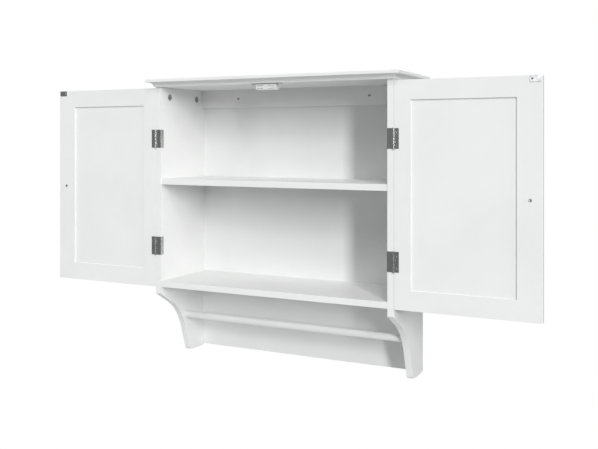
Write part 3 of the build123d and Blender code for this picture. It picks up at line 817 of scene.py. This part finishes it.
class CABINET_OT_screws(bpy.types.Operator):
    """Countersunk and pan-head screws, each turned home at its own angle"""

    bl_idname = "cabinet.screws"
    bl_label = "Screws"
    bl_options = {"REGISTER", "UNDO"}

    def execute(self, context):
        sizes = context.scene.cabinet_sizes
        tree = fastener_tree()
        jobs = [("catch_screws", 2, -1, "zinc_plated_steel")]
        for side, sign in (("left", -1), ("right", 1)):
            jobs.append((f"hinge_frame_screws_{side}", 0, -sign, "hinge_steel"))
            jobs.append((f"hinge_door_screws_{side}", 1, -1, "hinge_steel"))
            jobs.append((f"strike_screw_{side}", 1, -1, "zinc_plated_steel"))
        for node, axis, sign, finish in jobs:
            boxes = islands(node)
            low, high = boxes[0]
            radius = (high[axis - 1] - low[axis - 1]) / 2
            shank = SCREW_SHANK_SHARE * radius
            length = high[axis] - low[axis]
            sheet = CATCH_SHEET if node == "catch_screws" else LEAF_SHEET
            measures = {
                "Top radius": radius, "Neck radius": shank, "Head height": sheet,
                "Shank radius": shank, "Shank length": length - sheet,
                "Recess width": sizes.recess_width, "Recess reach": SCREW_RECESS_SHARE * radius,
                "Recess depth": SCREW_RECESS_DEPTH,
            }
            places = [face_place(box, axis, sign) for box in boxes]
            from_tree(tree, node, places, measures, FINISHES[finish], sizes.turn_seed, SCREW_ARRIS)
        for side in SIDES:
            node = f"knob_screw_{side}"
            low, high = islands(node)[0]
            radius = (high.x - low.x) / 2
            measures = {
                "Top radius": 0.74 * radius, "Neck radius": radius, "Head height": KNOB_HEAD_HEIGHT,
                "Shank radius": 0.6 * radius, "Shank length": high.y - low.y - KNOB_HEAD_HEIGHT,
                "Recess width": KNOB_RECESS_WIDTH, "Recess reach": 0.5 * radius,
                "Recess depth": KNOB_RECESS_DEPTH,
            }
            places = [face_place((low, high), 1, -1)]
            finish = FINISHES["zinc_plated_steel"]
            from_tree(tree, node, places, measures, finish, sizes.turn_seed, KNOB_SCREW_ARRIS)
        return {"FINISHED"}


class CABINET_OT_fittings(bpy.types.Operator):
    """Cam locks, cam bolts, fluted dowels and the back panel's pins"""

    bl_idname = "cabinet.fittings"
    bl_label = "Knock-down fittings"
    bl_options = {"REGISTER", "UNDO"}

    def execute(self, context):
        sizes = context.scene.cabinet_sizes
        tree = fastener_tree()
        zinc = FINISHES["fitting_zinc"]
        for node in ("top_cam_locks", "bottom_cam_locks", "shelf_cam_locks"):
            boxes = islands(node)
            places = []
            for box in boxes:
                if node == "top_cam_locks":
                    sign = -1 if box[0].x > 0 else 1
                    places.append(face_place(box, 0, sign))
                else:
                    places.append(face_place(box, 2, -1))
            low, high = boxes[0]
            depth = min(high - low)
            radius = max(high - low) / 2
            measures = {
                "Top radius": radius, "Neck radius": radius, "Head height": CAM_HEAD_SHARE * depth,
                "Shank radius": CAM_HEAD_SHARE * radius, "Shank length": (1 - CAM_HEAD_SHARE) * depth,
                "Recess width": CAM_SLOT_WIDTH, "Recess reach": 0.55 * radius,
                "Recess depth": CAM_SLOT_DEPTH,
            }
            from_tree(tree, node, places, measures, zinc, sizes.turn_seed, CAM_ARRIS)
        self.drive_pins(tree, sizes)
        self.glue_dowels(sizes)
        for node in ("top_cam_bolts", "bottom_cam_bolts", "shelf_cam_bolts"):
            softened(node, zinc, sizes.metal_arris, segments=2)
        return {"FINISHED"}

    def drive_pins(self, tree, sizes):
        boxes = islands("back_panel_pins")
        low, high = boxes[0]
        radius = (high.x - low.x) / 2
        measures = {
            "Top radius": radius, "Neck radius": 0.6 * radius, "Head height": PIN_HEAD_HEIGHT,
            "Shank radius": 0.45 * radius, "Shank length": high.y - low.y - PIN_HEAD_HEIGHT,
            "Recess depth": 0.0,
        }
        places = [face_place(box, 1, 1) for box in boxes]
        finish = FINISHES["zinc_plated_steel"]
        from_tree(tree, "back_panel_pins", places, measures, finish, sizes.turn_seed)

    def glue_dowels(self, sizes):
        tree = dowel_tree()
        for node in ("top_dowels", "bottom_dowels", "shelf_dowels", "rail_dowels", "lower_back_dowels"):
            boxes = islands(node)
            low, high = boxes[0]
            span = high - low
            axis = max(range(3), key=lambda i: span[i])
            direction = tuple(1.0 if i == axis else 0.0 for i in range(3))
            places = [(tuple((box[0] + box[1]) / 2), direction) for box in boxes]
            measures = {"Radius": min(span) / 2, "Length": span[axis], "Flute depth": sizes.flute_depth}
            finish = FINISHES["plain_beech"]
            from_tree(tree, node, places, measures, finish, sizes.turn_seed, DOWEL_ARRIS)


class CABINET_OT_stage(bpy.types.Operator):
    """Pale floor, soft studio light and the camera"""

    bl_idname = "cabinet.stage"
    bl_label = "Stage"
    bl_options = {"REGISTER", "UNDO"}

    def execute(self, context):
        stage = context.scene.cabinet_stage
        self.lay_floor(stage)
        self.surround(context.scene, stage)
        middle = (CAD_LOW + CAD_HIGH) / 2
        for name, turn, rise, distance, size in SOFT_BOXES:
            power = getattr(stage, f"{name.lower()}_power")
            self.soft_box(name, middle, turn, rise, distance, size, power)
        self.stand_camera(context.scene, stage)
        context.scene.view_settings.view_transform = "Standard"
        context.scene.view_settings.look = "None"
        return {"FINISHED"}

    def lay_floor(self, stage):
        finish, shader = new_finish("pale_floor", (0.85, 0.855, 0.86), 0.6)
        tint(finish, shader, noise(finish, 2.0), (0.84, 0.845, 0.85), (0.87, 0.875, 0.88))
        shape = bmesh.new()
        bmesh.ops.create_circle(shape, cap_ends=True, segments=96, radius=stage.floor_radius)
        bmesh.ops.translate(shape, verts=shape.verts, vec=(0.0, 0.0, CAD_LOW.z - stage.floor_drop))
        mesh = bpy.data.meshes.new("floor")
        shape.to_mesh(mesh)
        shape.free()
        mesh.materials.append(finish)
        new_piece("floor", mesh)

    def surround(self, scene, stage):
        """Even white studio: pure white where it is looked at, softer where it lights."""
        world = bpy.data.worlds.new("Studio")
        world.use_nodes = True
        nodes = world.node_tree.nodes
        links = world.node_tree.links
        lighting = nodes["Background"]
        lighting.inputs["Color"].default_value = (0.96, 0.99, 1.0, 1.0)
        lighting.inputs["Strength"].default_value = stage.fill
        seen = nodes.new("ShaderNodeBackground")
        seen.inputs["Color"].default_value = (1.0, 1.0, 1.0, 1.0)
        ray = nodes.new("ShaderNodeLightPath")
        mix = nodes.new("ShaderNodeMixShader")
        links.new(ray.outputs["Is Camera Ray"], mix.inputs["Fac"])
        links.new(lighting.outputs["Background"], mix.inputs[1])
        links.new(seen.outputs["Background"], mix.inputs[2])
        links.new(mix.outputs["Shader"], nodes["World Output"].inputs["Surface"])
        scene.world = world

    def soft_box(self, name, target, turn, rise, distance, size, power):
        """Rectangular soft light, turn degrees to the right of the front and rise degrees up."""
        light = bpy.data.lights.new(name, "AREA")
        light.shape = "RECTANGLE"
        light.size, light.size_y = size
        light.energy = power
        lamp = bpy.data.objects.new(name, light)
        bpy.context.scene.collection.objects.link(lamp)
        azimuth, elevation = math.radians(turn), math.radians(rise)
        flat = math.cos(elevation)
        away = Vector((math.sin(azimuth) * flat, -math.cos(azimuth) * flat, math.sin(elevation)))
        lamp.location = target + distance * away
        lamp.rotation_euler = (-away).to_track_quat("-Z", "Y").to_euler()

    def stand_camera(self, scene, stage):
        camera = bpy.data.cameras.new("Camera")
        camera.sensor_width = SENSOR_WIDTH
        camera.lens = stage.camera_lens
        camera.shift_y = -stage.camera_drop
        camera.clip_end = FARTHEST_SEEN
        holder = bpy.data.objects.new("Camera", camera)
        scene.collection.objects.link(holder)
        holder.location = stage.camera_place
        holder.rotation_euler = (math.radians(90), 0.0, stage.camera_turn)
        scene.camera = holder


class CABINET_PT_builder(bpy.types.Panel):
    """Sidebar panel that lists the cabinet's pieces, sizes and colours"""

    bl_label = "Hanging wall cabinet"
    bl_idname = "CABINET_PT_builder"
    bl_space_type = "VIEW_3D"
    bl_region_type = "UI"
    bl_category = "Cabinet"

    def draw(self, context):
        column = self.layout.column(align=True)
        for operator in OPERATORS:
            column.operator(operator.bl_idname)
        for group in (
            context.scene.cabinet_sizes, context.scene.cabinet_finishes, context.scene.cabinet_stage,
        ):
            box = self.layout.box()
            for name in group.__annotations__:
                box.prop(group, name)


OPERATORS = (
    CABINET_OT_finishes,
    CABINET_OT_carcass,
    CABINET_OT_back_panel,
    CABINET_OT_towel_bar,
    CABINET_OT_doors,
    CABINET_OT_hinges,
    CABINET_OT_knobs,
    CABINET_OT_catch,
    CABINET_OT_screws,
    CABINET_OT_fittings,
    CABINET_OT_stage,
)
GROUPS = (
    ("cabinet_sizes", CabinetSizes),
    ("cabinet_finishes", CabinetFinishes),
    ("cabinet_stage", CabinetStage),
)


def register():
    for name, group in GROUPS:
        bpy.utils.register_class(group)
        setattr(bpy.types.Scene, name, PointerProperty(type=group))
    for cls in (*OPERATORS, CABINET_PT_builder):
        bpy.utils.register_class(cls)


def unregister():
    for cls in reversed((*OPERATORS, CABINET_PT_builder)):
        bpy.utils.unregister_class(cls)
    for name, group in reversed(GROUPS):
        delattr(bpy.types.Scene, name)
        bpy.utils.unregister_class(group)


def main():
    register()
    bpy.ops.cabinet.finishes()
    bpy.ops.cabinet.carcass()
    bpy.ops.cabinet.back_panel()
    bpy.ops.cabinet.towel_bar()
    bpy.ops.cabinet.doors()
    bpy.ops.cabinet.hinges()
    bpy.ops.cabinet.knobs()
    bpy.ops.cabinet.catch()
    bpy.ops.cabinet.screws()
    bpy.ops.cabinet.fittings()
    bpy.ops.cabinet.stage()


if __name__ == "__main__":
    main()
